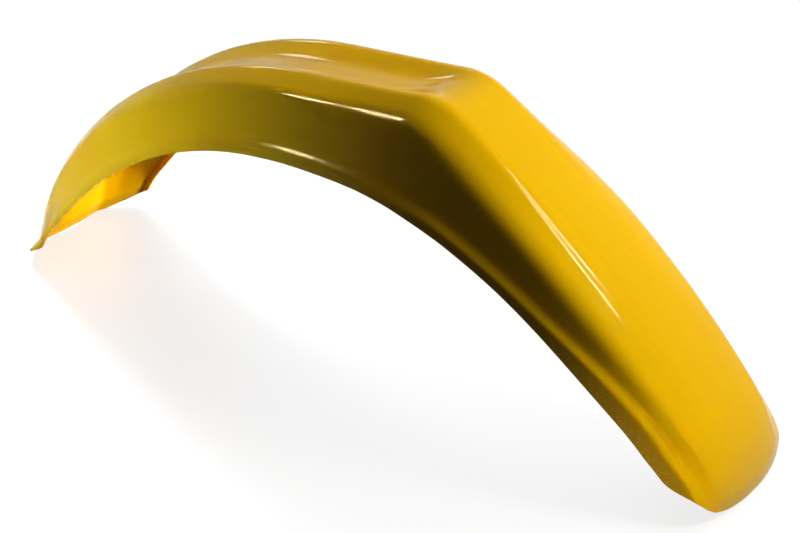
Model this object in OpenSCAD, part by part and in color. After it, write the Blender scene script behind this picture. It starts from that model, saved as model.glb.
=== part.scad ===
// Front mudguard for an off-road motorcycle, moulded in one piece of thin plastic.
// It stands as it does on a floor, on its rear lip and on its nose: +X is forward, +Z is up.
// A channel section is lofted along the crown, which is a chain of arcs seen from the side.
// The section changes from station to station, and the wall is an offset of the section.

/* [Crown, seen from the side] */
// Slope of the crown at the rear lip, in degrees, before the part is stood on its ends
lip_slope = 84; // [78:1:87]
// Length of the steep tail along the crown
tail_len = 120; // [90:5:150]
// Turn of the crown over the tail, in degrees
tail_turn = 28; // [22:1:32]
// Length of the arch over the wheel along the crown
arch_len = 360; // [320:5:400]
// Turn of the crown over the arch, in degrees
arch_turn = 50; // [45:1:54]
// Length of the straight land that bolts under the fork yoke
land_len = 130; // [110:5:150]
// Length of the bend between the land and the nose
bend_len = 45; // [40:5:60]
// Turn of the crown over the bend, in degrees
bend_turn = 38; // [30:1:40]
// Length of the long front run along the crown
nose_len = 335; // [310:5:370]
// Turn of the crown over the front run, in degrees
nose_turn = 15; // [10:1:20]
// Length of the turned-down tip along the crown
tip_len = 80; // [65:5:90]
// Turn of the crown over the tip, in degrees
tip_turn = 36; // [26:1:38]
// Length over which the side walls round off the turns of the crown, each way
wall_ease = 80; // [60:5:90]

/* [Crests, half the distance between them] */
// At the rear lip
lip_crest = 41; // [38:1:44]
// At the bend
bend_crest = 36; // [32:1:40]
// Halfway down the nose
nose_crest = 41; // [36:1:45]
// At the tip
tip_crest = 35; // [30:1:38]

/* [Shoulders, half width] */
// At the rear lip
lip_shoulder = 57; // [54:1:60]
// At the start of the land
land_shoulder = 61; // [57:1:63]
// At the bend
bend_shoulder = 60; // [57:1:64]
// Halfway down the nose
nose_shoulder = 70; // [64:1:71]
// At the tip
tip_shoulder = 53; // [50:1:55]

/* [Shoulders, height below the crests] */
// At the rear lip
lip_drop = 8; // [6:1:12]
// At the start of the land
land_drop = 13; // [10:1:18]
// At the bend
bend_drop = 16; // [12:1:20]
// Halfway down the nose
nose_drop = 7; // [5:1:10]
// At the tip
tip_drop = 3; // [2:0.5:5]

/* [Side walls, half width at the foot] */
// At the rear lip
lip_width = 79; // [76:1:82]
// At the start of the land
land_width = 70; // [67:1:76]
// At the bend
bend_width = 73; // [70:1:78]
// Halfway down the nose
nose_width = 77; // [74:1:80]
// At the tip
tip_width = 66; // [64:1:71]

/* [Side walls, depth of the foot below the crown] */
// At the rear lip
lip_depth = 21; // [17:1:24]
// At the end of the tail
tail_depth = 38; // [33:1:43]
// At the start of the land
land_depth = 62; // [56:1:67]
// At the bend, where the walls are deepest
bend_depth = 73; // [67:1:76]
// Halfway down the nose
nose_depth = 38; // [35:1:43]
// At the start of the tip
toe_depth = 11; // [9:1:14]
// At the tip
tip_depth = 5; // [4:0.5:7]

/* [Step out to the rim] */
// How far the step goes outwards at the rear lip
lip_step = 2; // [1.5:0.5:4]
// How far it goes outwards at the end of the tail
tail_step = 4; // [3:0.5:6]
// How far it goes outwards from the land to the nose
rim_step = 5.5; // [4:0.5:7]
// How far it goes outwards at the tip
tip_step = 8; // [6:0.5:9]
// How much the step falls at the rear lip
lip_fall = 2; // [2:0.5:3]
// How much it falls at the start of the land
land_fall = 5; // [3.5:0.5:7]
// How much it falls halfway down the nose
nose_fall = 5; // [4:0.5:7]
// How much it falls at the tip
tip_fall = 4; // [3:0.5:5]

/* [Height of the rim] */
// At the rear lip
lip_rim = 8; // [6:0.5:10]
// At the start of the land
land_rim = 8; // [7:0.5:11]
// At the bend
bend_rim = 7.5; // [6.5:0.5:10]
// A quarter of the way down the nose
brow_rim = 15; // [13:0.5:16]
// Halfway down the nose
nose_rim = 16; // [14:0.5:20]
// At the start of the tip
toe_rim = 27; // [22:0.5:29]
// At the tip
tip_rim = 24; // [20:0.5:26]
// How much the rim leans outwards
rim_lean = 1; // [0.5:0.5:2]

/* [Valley between the crests] */
// Depth of the valley at the rear lip
lip_valley = 5; // [3:0.5:8]
// Depth of the valley over the arch and the land
seat_valley = 12; // [8:0.5:14]
// Half width of the flat floor of the valley
seat_half = 16; // [13:1:19]
// Length of the land that keeps the full depth, as a seat for the yoke
seat_len = 90; // [70:5:100]
// Rise of the centre panel above the crests in the nose
nose_rise = 1.5; // [0.5:0.5:3]

/* [Edges and wall] */
// Thickness of the wall
wall = 3; // [2:0.25:3.25]
// Tangent length of the rounding at the edges of the valley floor
floor_round = 7; // [4:1:9]
// Tangent length of the rounding at the crests
crest_round = 5; // [4:0.5:7]
// Tangent length of the rounding at the shoulders, from the rear lip to the land
shoulder_round = 7; // [4:0.5:9]
// The same at the bend
bend_round = 10; // [6:0.5:13]
// The same halfway down the nose, where the shoulders are soft
nose_round = 18; // [12:0.5:19]
// The same at the tip
tip_round = 9; // [6:0.5:12]
// Tangent length of the fillet at the foot of the wall
foot_round = 4; // [1.5:0.5:5]
// Tangent length of the rounding at the top of the rim
rim_round = 4; // [2:0.5:6]
// How far the rear lip is cut back in the valley, so that it stands on its crests
lip_notch = 3; // [1:0.5:5]
// How far the rear lip bows in from the crests to its corners
lip_bow = 26; // [20:1:30]
// Length of the rounded corners of the rear lip
lip_corner = 4; // [2:1:8]
// How far the rear lip flares outwards
lip_flare = 6; // [3:0.5:7]
// Length of the flare
flare_len = 18; // [12:1:22]
// How far the nose bulges forward
nose_bulge = 14; // [8:1:20]
// Length of the rounded corners of the nose
nose_corner = 43; // [34:1:47]
// How far the edge of the nose turns down
nose_tuck = 1.5; // [0:0.5:4]
// Length of the turned-down edge
tuck_len = 14; // [8:1:18]

/* [Hidden] */

// The crown is a chain of arcs, each given as its length and its turn in degrees.
arcs = [
    [tail_len, tail_turn], [arch_len, arch_turn], [land_len, 0],
    [bend_len, bend_turn], [nose_len, nose_turn], [tip_len, tip_turn]
];
deg = 180 / PI;

// Position along the crown and slope where each arc starts.
starts = [for (i = 0, s = 0; i <= len(arcs); s = s + (i < len(arcs) ? arcs[i][0] : 0), i = i + 1) s];
slopes = [for (i = 0, a = lip_slope; i <= len(arcs); a = a - (i < len(arcs) ? arcs[i][1] : 0), i = i + 1) a];
crown_len = starts[len(arcs)];

// What an arc that starts at slope a covers, forward and up, by distance s.
function arc_run(s, a, len, turn) =
    turn == 0
        ? s * [cos(a), sin(a)]
        : len / turn * deg * [sin(a) - sin(a - turn * s / len), cos(a - turn * s / len) - cos(a)];

function whole_run(i) = i < len(arcs) ? arc_run(arcs[i][0], slopes[i], arcs[i][0], arcs[i][1]) : [0, 0];
corners = [for (i = 0, p = [0, 0]; i <= len(arcs); p = p + whole_run(i), i = i + 1) p];

// Point of the crown, forward and up, at distance s from the rear lip.
function arc_at(s, i = 0) = i == len(arcs) - 1 || s < starts[i + 1] ? i : arc_at(s, i + 1);
function crown(s) =
    let (i = arc_at(s)) corners[i] + arc_run(s - starts[i], slopes[i], arcs[i][0], arcs[i][1]);

// The feet of the walls follow a calmer line than the crown: its mean over wall_ease each way. The
// sections stand square to that line, so the deep walls never fold over in the bend.
ease_steps = 6;
function reach(s) = max(1, min(wall_ease, s, crown_len - s));
function ease_slope(s) =
    let (r = reach(s), d = crown(min(crown_len, s + r)) - crown(max(0, s - r))) atan2(d[1], d[0]);
function up(s) = let (a = ease_slope(s)) [-sin(a), cos(a)];
function sum(list, i = 0) = i == len(list) ? 0 * list[0] : list[i] + sum(list, i + 1);
function ease_point(s) =
    let (r = s < 1 || s > crown_len - 1 ? 0 : reach(s))
    sum([for (k = [0.5:ease_steps]) crown(s - r + 2 * r * k / ease_steps)]) / ease_steps;

// Stations, as distances along the crown from the rear lip.
lip = 0;
tail = starts[1];
land = starts[2];
seat_end = land + seat_len;
bend_start = starts[3];
bend = bend_start + bend_len / 2;
bend_end = starts[4];
brow = bend_end + nose_len / 4;
nose = bend_end + nose_len / 2;
toe = starts[5];
tip = crown_len;

// Sizes given at stations, each as a list of a station and a value, joined by smooth curves
// that don't overshoot.
function rate(p, i) = (p[i + 1][1] - p[i][1]) / (p[i + 1][0] - p[i][0]);
function tangent(p, i) =
    i == 0 ? rate(p, 0)
    : i == len(p) - 1 ? rate(p, i - 1)
    : let (a = rate(p, i - 1), b = rate(p, i)) a * b <= 0 ? 0 : 2 * a * b / (a + b);
function span_at(p, s, i = 0) = i == len(p) - 2 || s < p[i + 1][0] ? i : span_at(p, s, i + 1);
function along(p, s) =
    let (
        i = span_at(p, s),
        h = p[i + 1][0] - p[i][0],
        t = (s - p[i][0]) / h
    )
    (2 * pow(t, 3) - 3 * t * t + 1) * p[i][1] + (pow(t, 3) - 2 * t * t + t) * h * tangent(p, i)
        + (3 * t * t - 2 * pow(t, 3)) * p[i + 1][1] + (pow(t, 3) - t * t) * h * tangent(p, i + 1);

crest_at = [[lip, lip_crest], [bend, bend_crest], [nose, nose_crest], [tip, tip_crest]];
shoulder_at = [
    [lip, lip_shoulder], [land, land_shoulder], [bend, bend_shoulder], [nose, nose_shoulder],
    [tip, tip_shoulder]
];
drop_at = [[lip, lip_drop], [land, land_drop], [bend, bend_drop], [nose, nose_drop], [tip, tip_drop]];
width_at = [[lip, lip_width], [land, land_width], [bend, bend_width], [nose, nose_width], [tip, tip_width]];
depth_at = [
    [lip, lip_depth], [tail, tail_depth], [land, land_depth], [bend, bend_depth], [nose, nose_depth],
    [toe, toe_depth], [tip, tip_depth]
];
step_at = [[lip, lip_step], [tail, tail_step], [land, rim_step], [nose, rim_step], [tip, tip_step]];
fall_at = [[lip, lip_fall], [land, land_fall], [nose, nose_fall], [tip, tip_fall]];
rim_at = [
    [lip, lip_rim], [land, land_rim], [bend, bend_rim], [brow, brow_rim], [nose, nose_rim],
    [toe, toe_rim], [tip, tip_rim]
];
valley_at = [
    [lip, lip_valley], [tail, (lip_valley + seat_valley) / 2], [land, seat_valley], [seat_end, seat_valley],
    [bend_end, 0], [nose, -nose_rise], [tip, -nose_rise]
];
round_at = [
    [lip, shoulder_round], [land, shoulder_round], [bend, bend_round], [nose, nose_round], [tip, tip_round]
];

// Half of the section, from the middle of the crown out to the edge of the rim. Each corner is
// its distance from the middle, its height over the crests, and its share of the way out.
crest_share = 0.42;
shoulder_share = 0.66;
foot_share = 0.86;
step_share = 0.92;
function half_section(s) =
    let (
        valley = along(valley_at, s),
        width = along(width_at, s),
        foot = along(depth_at, s),
        step = foot + along(fall_at, s),
        step_width = width + along(step_at, s)
    )
    [
        [0, -valley, 0],
        [seat_half, -valley, crest_share * seat_half / along(crest_at, s)],
        [along(crest_at, s), 0, crest_share],
        [along(shoulder_at, s), -along(drop_at, s), shoulder_share],
        [width, -foot, foot_share],
        [step_width, -step, step_share],
        [step_width + rim_lean, -step - along(rim_at, s), 1]
    ];

// Falls smoothly from 1 at 0 to 0 at 1 and beyond.
function fade(t) = t >= 1 ? 0 : (1 + cos(180 * t)) / 2;

// Rounding of each corner at a station: its tangent length on the outer face, how many pieces it
// takes, and the share of the shorter side beside the corner that the tangent may take.
function rounds(s) =
    [
        [0, 0, 0], [floor_round, 2, 0.45], [crest_round, 3, 0.3], [along(round_at, s), 5, 0.62],
        [foot_round, 3, 0.5], [rim_round, 3, 0.45], [0, 0, 0]
    ];

// Pieces of the straight rim, and the shortest tangent that a rounding may have.
rim_pieces = 3;
sharpest = 0.3;

// The same section moved in by a depth, and out by the flare down to the foot, with mitred corners
// that are rounded afterwards. A corner that turns downwards gets a shorter tangent as it moves
// in, and a hollow one a longer tangent.
function flat(p) = [p[0], p[1]];
function heading(a, b) = let (d = flat(b) - flat(a)) d / norm(d);
function outward(d) = [-d[1], d[0]];
function half_turn(a, b) = (a[1] * b[0] - a[0] * b[1]) / (1 + a * b);
function mitre(p, i) =
    i == 0 ? outward(heading(p[0], p[1]))
    : i == len(p) - 1 ? outward(heading(p[i - 1], p[i]))
    : let (n = outward(heading(p[i - 1], p[i])), m = outward(heading(p[i], p[i + 1]))) (n + m) / (1 + n * m);
function moved(p, flare, depth) =
    [
        for (i = [0:len(p) - 1])
            let (m = (flare * fade(beyond(p[i][2], foot_share)) - depth) * mitre(p, i))
            [p[i][0] + m[0], p[i][1] + m[1], p[i][2]]
    ];
function shorter_side(p, i) = min(norm(flat(p[i] - p[i - 1])), norm(flat(p[i + 1] - p[i])));
function round_len(rounding, outer, p, i, depth) =
    let (bend = half_turn(heading(p[i - 1], p[i]), heading(p[i], p[i + 1])))
    max(sharpest, min(rounding[0], rounding[2] * shorter_side(outer, i)) - depth * bend);
function towards(a, b, distance) = a + (b - a) * distance / norm(flat(b) - flat(a));
function bezier(a, b, c, t) = (1 - t) * (1 - t) * a + 2 * t * (1 - t) * b + t * t * c;
function rounded(half, roundings, flare, depth) =
    let (
        outer = moved(half, flare, 0),
        p = moved(half, flare, depth),
        n = len(p),
        last_corner = towards(p[n - 2], p[n - 1], round_len(roundings[n - 2], outer, p, n - 2, depth))
    )
    [
        p[0],
        for (i = [1:n - 2], k = [0:roundings[i][1]])
            let (r = round_len(roundings[i], outer, p, i, depth))
            bezier(towards(p[i], p[i - 1], r), p[i], towards(p[i], p[i + 1], r), k / roundings[i][1]),
        for (k = [1:rim_pieces]) last_corner + (p[n - 1] - last_corner) * k / rim_pieces
    ];

// The rear lip is notched and the nose bulges, and both have rounded corners: a line that lies a
// share u of the way out starts and ends at its own distance along the crown.
corner_from = 0.7;
bulge_from = 0.45;
nose_power = 3.4;
function beyond(u, from) = min(1, max(0, (u - from) / (1 - from)));
function line_start(u) =
    lip_notch * (1 - pow(min(1, u / crest_share), 2)) + lip_bow * pow(beyond(u, crest_share), 2)
        + lip_corner * (1 - sqrt(1 - pow(beyond(u, corner_from), 2)));
function line_end(u) =
    crown_len - nose_bulge * u * u - nose_corner * (1 - sqrt(1 - pow(beyond(u, bulge_from), nose_power)));

// The edge of the nose tucks in between its corners.
function tuck(s, u) = nose_tuck * fade((crown_len - s) / tuck_len) * fade(beyond(u, shoulder_share));

// Places of the sections along the crown, in runs of a start, an end and how many sections the
// run takes: closer together at the ends and in the bend.
end_steps = 4;
runs = [
    [lip, flare_len, end_steps], [flare_len, tail, 5], [tail, land, 13], [land, seat_end, 4],
    [seat_end, bend_start, 3], [bend_start, bend_end, 5], [bend_end, toe, 11], [toe, tip - tuck_len, 4],
    [tip - tuck_len, tip, end_steps]
];
places = [for (r = runs, k = [0:r[2] - 1]) r[0] + (r[1] - r[0]) * k / r[2], tip];

// A corner of the section set in its place: forward, sideways and up.
function placed(s, p, side) =
    let (
        u = p[2],
        t = s / crown_len,
        at = line_start(u) * (1 - t) + line_end(u) * t,
        calm = min(1, beyond(u, shoulder_share) / beyond(foot_share, shoulder_share)),
        line = calm == 0 ? crown(at) : crown(at) * (1 - calm) + ease_point(at) * calm,
        q = line + up(at) * (p[1] - tuck(s, u))
    )
    [q[0], side * p[0], q[1]];

function ring(s) =
    let (
        half = half_section(s),
        roundings = rounds(s),
        flare = lip_flare * fade(s / flare_len),
        outer = rounded(half, roundings, flare, 0),
        inner = rounded(half, roundings, flare, wall),
        last = len(outer) - 1
    )
    concat(
        [for (i = [last:-1:0]) placed(s, outer[i], -1)],
        [for (i = [1:last]) placed(s, outer[i], 1)],
        [for (i = [last:-1:0]) placed(s, inner[i], 1)],
        [for (i = [1:last]) placed(s, inner[i], -1)]
    );
rings = [for (s = places) ring(s)];

// The part is turned until its rear lip and its nose both touch the ground.
function turned(p, a) = [p[0] * cos(a) - p[2] * sin(a), p[1], p[0] * sin(a) + p[2] * cos(a)];
function lowest(points, i = 0, best = undef) =
    i == len(points) ? best : lowest(points, i + 1, i == 0 || points[i][2] < best[2] ? points[i] : best);
tail_rings = [for (k = [0:len(places) - 1]) if (places[k] < tail) rings[k]];
tip_rings = [for (k = [0:len(places) - 1]) if (places[k] > toe) rings[k]];
function stood(a, tries) =
    tries == 0 ? a
    : let (
        rear = lowest([for (r = tail_rings, p = r) turned(p, a)]),
        front = lowest([for (r = tip_rings, p = r) turned(p, a)])
    )
    stood(a - atan2(front[2] - rear[2], front[0] - rear[0]), tries - 1);
stand_tries = 4;
stand = stood(0, stand_tries);
stood_points = [for (r = rings, p = r) turned(p, stand)];
floor_z = min([for (p = stood_points) p[2]]);
back_x = min([for (p = stood_points) p[0]]);
front_x = max([for (p = stood_points) p[0]]);

// Faces: two triangles for each cell between two sections, mirrored about the middle, and a strip
// over the wall at each end.
per_ring = len(rings[0]);
per_face = (per_ring + 2) / 4;
function cell(r, i) =
    let (
        j = (i + 1) % per_ring,
        a = r * per_ring + i,
        b = r * per_ring + j,
        c = b + per_ring,
        d = a + per_ring,
        left = i < per_face - 1 || i >= 3 * per_face - 2
    )
    left ? [[a, b, c], [a, c, d]] : [[a, b, d], [b, c, d]];
function end_strip(r, turn) =
    [
        for (i = [0:2 * per_face - 3])
            let (
                a = r * per_ring + i,
                b = a + 1,
                c = r * per_ring + per_ring - 2 - i,
                d = r * per_ring + (per_ring - 1 - i)
            )
            each (turn ? [[a, b, c], [a, c, d]] : [[a, c, b], [a, d, c]])
    ];

module mudguard() {
    faces = [
        for (r = [0:len(rings) - 2], i = [0:per_ring - 1]) each cell(r, i),
        each end_strip(0, false),
        each end_strip(len(rings) - 1, true)
    ];
    color("#EBB400")
        translate([-(back_x + front_x) / 2, 0, -floor_z])
            polyhedron(points = stood_points, faces = faces);
}

mudguard();
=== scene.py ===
# %% [markdown]
# # Front mudguard of an off-road motorcycle
# The mudguard is one thin shell of yellow plastic, moulded between two steel mould halves. The
# outer half is polished and gives the gloss, the inner one is grained and gives a dull face. The
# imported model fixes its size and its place, so the script starts there and keeps its box.

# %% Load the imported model
import math

import bmesh
import bpy
import numpy as np
from mathutils import Euler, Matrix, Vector


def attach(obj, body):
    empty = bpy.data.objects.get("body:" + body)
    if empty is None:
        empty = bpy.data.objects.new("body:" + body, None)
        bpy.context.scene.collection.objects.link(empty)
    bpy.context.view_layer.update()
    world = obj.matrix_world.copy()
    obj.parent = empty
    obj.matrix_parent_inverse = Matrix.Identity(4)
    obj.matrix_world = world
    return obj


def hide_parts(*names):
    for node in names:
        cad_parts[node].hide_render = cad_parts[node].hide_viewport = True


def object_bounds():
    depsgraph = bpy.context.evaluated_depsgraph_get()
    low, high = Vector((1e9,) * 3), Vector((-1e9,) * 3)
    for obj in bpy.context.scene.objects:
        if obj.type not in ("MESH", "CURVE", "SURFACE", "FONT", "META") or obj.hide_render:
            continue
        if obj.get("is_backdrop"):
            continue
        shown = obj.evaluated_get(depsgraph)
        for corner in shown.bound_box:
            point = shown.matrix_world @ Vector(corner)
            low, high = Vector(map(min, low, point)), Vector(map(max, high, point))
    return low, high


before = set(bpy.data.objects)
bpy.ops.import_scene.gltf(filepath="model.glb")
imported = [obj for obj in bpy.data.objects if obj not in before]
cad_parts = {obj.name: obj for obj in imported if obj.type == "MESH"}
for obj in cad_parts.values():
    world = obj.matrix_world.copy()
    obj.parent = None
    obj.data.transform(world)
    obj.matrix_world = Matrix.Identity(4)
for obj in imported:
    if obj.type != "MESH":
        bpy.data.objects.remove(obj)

MM = 0.001
NODE = "mudguard"
cad_low, cad_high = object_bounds()
print("CAD box in mm:", [round(v / MM, 1) for v in (*cad_low, *cad_high)])

# %% [markdown]
# ## Colours and nodes
# Colours are written as sRGB hex, as a paint chart gives them, and one function turns them to
# the linear values that the nodes' sockets take. One more function adds a node to any tree: it
# sets what is plain, and links what comes out of another node.

# %% Helpers for colours and nodes
def linear(hex_colour):
    """sRGB hex to linear RGBA."""
    channels = [int(hex_colour[i:i + 2], 16) / 255 for i in (1, 3, 5)]
    return [c / 12.92 if c <= 0.04045 else ((c + 0.055) / 1.055) ** 2.4 for c in channels] + [1.0]


def add(tree, kind, settings=None, **inputs):
    """Adds a node. An input is named, with _ for a space, or given as i and its number. A value
    that is a node stands for its first output."""
    new = tree.nodes.new(kind)
    for name, value in (settings or {}).items():
        setattr(new, name, value)
    for name, value in inputs.items():
        numbered = name[0] == "i" and name[1:].isdigit()
        socket = new.inputs[int(name[1:]) if numbered else name.replace("_", " ")]
        if isinstance(value, bpy.types.Node):
            value = value.outputs[0]
        if isinstance(value, bpy.types.NodeSocket):
            tree.links.new(value, socket)
        else:
            socket.default_value = value
    return new


PLUS, MINUS, TIMES, LARGER = (
    {"operation": name} for name in ("ADD", "SUBTRACT", "MULTIPLY", "MAXIMUM")
)
COLOURS = {"data_type": "RGBA"}
print("pure white is linear", linear("#FFFFFF")[:3])

# %% [markdown]
# ## The crown line
# Seen from the side, the top of the mudguard is a chain of arcs: a steep tail, the long arch
# over the wheel, a straight land that bolts under the fork, a tight bend, a long nose and a
# turned-down tip. It could be drawn by eye as one free curve, but arcs are what a mould maker
# works with, and each is given here by its length in mm and its turn in degrees. An arc turns
# evenly, so the slope is a straight line between the joints of the arcs.

# %% Arcs and stations of the crown
ARCS = {
    "tail": (120, 28),
    "arch": (360, 50),
    "land": (130, 0),
    "bend": (45, 38),
    "nose": (335, 15),
    "tip": (80, 36),
}
LIP_SLOPE = 84
SEAT_LEN = 90

joints = np.concatenate([[0], np.cumsum([length for length, turn in ARCS.values()])])
slopes = LIP_SLOPE - np.concatenate([[0], np.cumsum([turn for length, turn in ARCS.values()])])
LIP, TAIL, LAND, BEND_START, BEND_END, TOE, TIP = (float(j) for j in joints)
CROWN_LEN = TIP
SEAT_END = LAND + SEAT_LEN
BEND = (BEND_START + BEND_END) / 2
BROW = BEND_END + (TOE - BEND_END) / 4
NOSE = (BEND_END + TOE) / 2
print("the crown is", CROWN_LEN, "mm long and turns from", LIP_SLOPE, "to", slopes[-1], "degrees")

# %% [markdown]
# Adding up short steps along the slope gives the line itself. A mean over a few mm each way
# turns the sudden changes at the joints to soft ones, which keeps the gloss from breaking there.

# %% Crown line, step by step
STEP = 1.0
BLEND_LEN = 6

spots = np.arange(0, CROWN_LEN + STEP / 2, STEP)


def softened(values, reach):
    """Mean of a line of values over a reach in mm each way. Its ends are mirrored to stay put."""
    count = int(round(reach / STEP))
    before = 2 * values[0] - values[count:0:-1]
    after = 2 * values[-1] - values[-2:-count - 2:-1]
    window = np.ones(2 * count + 1) / (2 * count + 1)
    return np.convolve(np.concatenate([before, values, after]), window, "valid")


slope_line = np.radians(softened(np.interp(spots, joints, slopes), BLEND_LEN))
middle = (slope_line[1:] + slope_line[:-1]) / 2
steps = STEP * np.stack([np.cos(middle), np.sin(middle)], 1)
crown = np.concatenate([[[0, 0]], np.cumsum(steps, 0)])
print("straight from end to end:", round(float(np.linalg.norm(crown[-1])), 1), "mm")

# %% [markdown]
# ## The calm line
# The side walls are up to 75 mm deep, so walls that followed every turn of the crown would fold
# over inside the bend. Their feet follow a calmer line: the mean of the crown over 80 mm each
# way. Sections stand square to the calm line too.

# %% Calm line and the direction of the sections
WALL_EASE = 80


def at_spot(line, place):
    """Point of a line at a distance along the crown, or points at many."""
    return np.stack([np.interp(place, spots, line[:, 0]), np.interp(place, spots, line[:, 1])], 1)


reach = np.clip(np.minimum(spots, CROWN_LEN - spots), 1, WALL_EASE)
behind, ahead = np.clip(spots - reach, 0, CROWN_LEN), np.clip(spots + reach, 0, CROWN_LEN)
area = np.concatenate([[[0, 0]], np.cumsum(STEP * (crown[1:] + crown[:-1]) / 2, 0)])
calm = (at_spot(area, ahead) - at_spot(area, behind)) / (ahead - behind)[:, None]
calm[0], calm[-1] = crown[0], crown[-1]
chord = at_spot(crown, ahead) - at_spot(crown, behind)
upward = np.stack([-chord[:, 1], chord[:, 0]], 1) / np.linalg.norm(chord, axis=1)[:, None]
print("the calm line cuts the bend by", round(float(np.abs(calm - crown).max()), 1), "mm")

# %% [markdown]
# ## The section
# Across, half of the mudguard is a line through seven corners: the middle of the valley, the
# edge of its floor, the crest, the shoulder, the foot of the wall, the step and the edge of the
# rim. Each size is given at a few stations along the crown, as a designer would on a drawing,
# and a smooth curve that never overshoots joins the stations.

# %% Sizes at the stations, in mm
def sized(*stations):
    """A size along the crown, from its values at stations, as one value for each spot."""
    s, v = (np.array(x, float) for x in zip(*stations))
    rate = np.diff(v) / np.diff(s)
    inner = [0 if a * b <= 0 else 2 * a * b / (a + b) for a, b in zip(rate, rate[1:])]
    slope = np.array([rate[0], *inner, rate[-1]])
    i = np.clip(np.searchsorted(s, spots, "right") - 1, 0, len(s) - 2)
    h = s[i + 1] - s[i]
    t = (spots - s[i]) / h
    curve = (2 * t**3 - 3 * t**2 + 1) * v[i] + (t**3 - 2 * t**2 + t) * h * slope[i]
    curve += (3 * t**2 - 2 * t**3) * v[i + 1] + (t**3 - t**2) * h * slope[i + 1]
    return softened(curve, BLEND_LEN)


sizes = {
    "crest": sized((LIP, 41), (BEND, 36), (NOSE, 41), (TIP, 35)),
    "shoulder": sized((LIP, 57), (LAND, 61), (BEND, 60), (NOSE, 70), (TIP, 53)),
    "drop": sized((LIP, 8), (LAND, 15), (BEND, 19), (NOSE, 8), (TIP, 3)),
    "width": sized((LIP, 79), (LAND, 70), (BEND, 73), (NOSE, 77), (TIP, 66)),
    "depth": sized((LIP, 21), (TAIL, 38), (LAND, 62), (BEND, 73), (NOSE, 41), (TOE, 14), (TIP, 6)),
    "step": sized((LIP, 2), (TAIL, 4), (LAND, 5.5), (NOSE, 5.5), (TIP, 8)),
    "fall": sized((LIP, 2), (LAND, 3), (NOSE, 2), (TIP, 2)),
    "rim": sized(
        (LIP, 8), (LAND, 10), (BEND, 10), (BROW, 16), (NOSE, 16), (TOE, 26.5), (TIP, 25)
    ),
    "valley": sized(
        (LIP, 5), (TAIL, 8.5), (LAND, 12), (SEAT_END, 12), (BEND_END, 0), (NOSE, -1.5), (TIP, -1.5)
    ),
    "shoulder_round": sized((LIP, 7), (LAND, 8), (BEND, 24), (NOSE, 34), (TIP, 12)),
}
at_bend = {name: round(float(np.interp(BEND, spots, values)), 1) for name, values in sizes.items()}
print("sizes at the bend:", at_bend)

# %% [markdown]
# The seven corners of a section are a plain polygon. Each keeps its share of the way out, from 0
# in the middle to 1 at the edge of the rim, because the bend and the finish need to know later
# where a point lies. The same polygon, moved in by the wall with mitred corners, is the inner
# face. At the lip it is moved out a little as well, which flares the rim there.

# %% Polygon of half a section
SEAT_HALF = 16
RIM_LEAN = 1
SHARES = {"crest": 0.42, "shoulder": 0.66, "foot": 0.86, "step": 0.92}


def fade(t):
    """Falls smoothly from 1 at 0 to 0 at 1 and beyond."""
    return 0.5 + 0.5 * math.cos(math.pi * min(1.0, max(0.0, t)))


def beyond(share, start):
    """How far a share lies on the way from a start to the edge of the rim."""
    return min(1.0, max(0.0, (share - start) / (1 - start)))


def polygon(s):
    """Corners of half a section: distance from the middle, height over the crests, share."""
    at = {name: float(np.interp(s, spots, values)) for name, values in sizes.items()}
    step, step_width = at["depth"] + at["fall"], at["width"] + at["step"]
    return at, np.array([
        (0, -at["valley"], 0),
        (SEAT_HALF, -at["valley"], SHARES["crest"] * SEAT_HALF / at["crest"]),
        (at["crest"], 0, SHARES["crest"]),
        (at["shoulder"], -at["drop"], SHARES["shoulder"]),
        (at["width"], -at["depth"], SHARES["foot"]),
        (step_width, -step, SHARES["step"]),
        (step_width + RIM_LEAN, -step - at["rim"], 1),
    ])


def side_ways(p):
    """Unit directions of the sides of a polygon."""
    d = np.diff(p[:, :2], axis=0)
    return d / np.linalg.norm(d, axis=1)[:, None]


def moved(p, flare, depth):
    """The polygon out by the flare, which fades along the rim, and in by a depth."""
    d = side_ways(p)
    out = np.stack([-d[:, 1], d[:, 0]], 1)
    joined = (out[:-1] + out[1:]) / (1 + (out[:-1] * out[1:]).sum(1))[:, None]
    mitre = np.concatenate([out[:1], joined, out[-1:]])
    amount = np.array([flare * fade(beyond(share, SHARES["foot"])) - depth for share in p[:, 2]])
    return np.concatenate([p[:, :2] + amount[:, None] * mitre, p[:, 2:]], 1)


print("corners on the land:", np.round(polygon(LAND)[1][:, :2], 1).tolist())

# %% [markdown]
# A steel mould has no sharp corners, and the gloss shows every radius as a band of light. Floor
# edge, crest and shoulder are each rounded by a curve between two points on their sides. Foot
# and step lie so close together that two roundings would leave a crease between them, so one
# S-shaped curve runs from the wall over both to the rim. The roundings of the inner face are
# tighter or wider than the outer ones by what the wall asks, so that it stays even. No rounding
# may take more than a given part of a side, which leaves room for the one at its other end.

# %% Half of a section with its corners rounded
LIP_FLARE, FLARE_LEN = 6, 18
FLOOR_ROUND, CREST_ROUND, FOOT_ROUND, RIM_ROUND = 7, 8, 6, 6
CORNER_ROOM = [0, 0.45, 0.3, 0.5, 0.46, 0.6]
SHARPEST = 0.3
ROUND_PIECES = [0, 5, 7, 14]  # pieces of each rounding
SPAN_PIECES = [3, 4, 4, 5, 10]  # pieces of each straight part
OGEE_PIECES = 16  # pieces of the S-shaped curve
RIM_CROWDING = 1.5  # draws the points of the rim together at its edge
FLOOR_EDGE, SHOULDER_CORNER, FOOT_CORNER, STEP_CORNER = 1, 3, 4, 5


def even_steps(start, end, count):
    """Points on the way from a start to an end, without the start."""
    return [start + (end - start) * k / count for k in range(1, count + 1)]


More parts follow.
